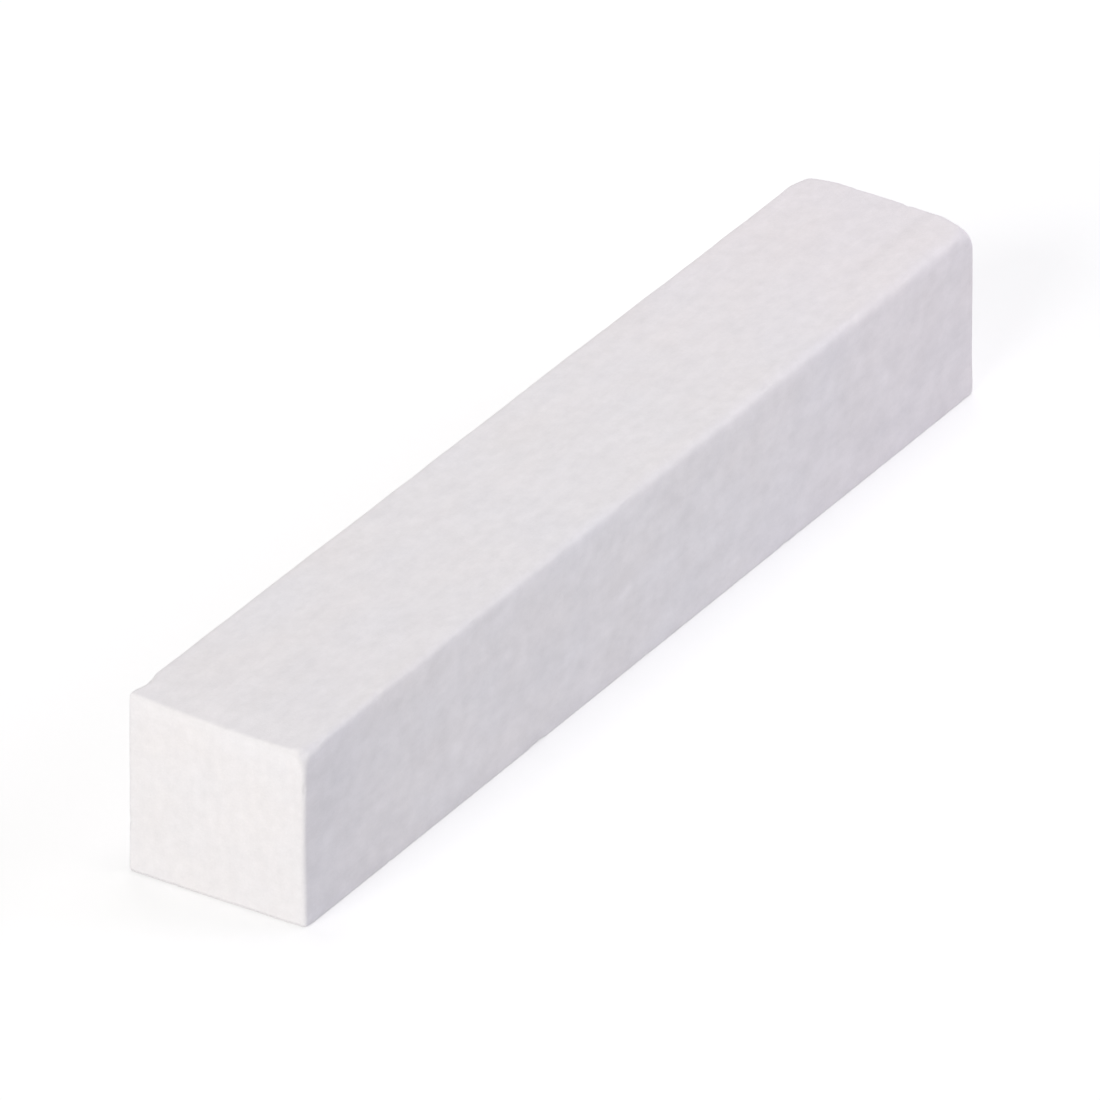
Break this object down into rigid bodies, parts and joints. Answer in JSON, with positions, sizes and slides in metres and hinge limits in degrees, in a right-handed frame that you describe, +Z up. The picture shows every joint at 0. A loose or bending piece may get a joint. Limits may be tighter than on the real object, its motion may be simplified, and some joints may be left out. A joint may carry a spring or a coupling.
{
  "type": "chalk piece",
  "caption": "Square stick of white chalk with a clean-cut end and a worn end, lying on its flat base.",
  "frame": {"origin": "middle of the flat base, at the height of the surface that the stick lies on", "axes": "+X along the stick from its clean-cut end to its worn end, +Y to its left side, +Z up"},
  "size_m": [0.0746, 0.012, 0.0117],
  "materials": {
    "chalk": "dry, powdery and matt, with fine lengthwise drag lines"
  },
  "bodies": {
    "root": {"chalk_stick": "chalk"}
  },
  "joints": []
}
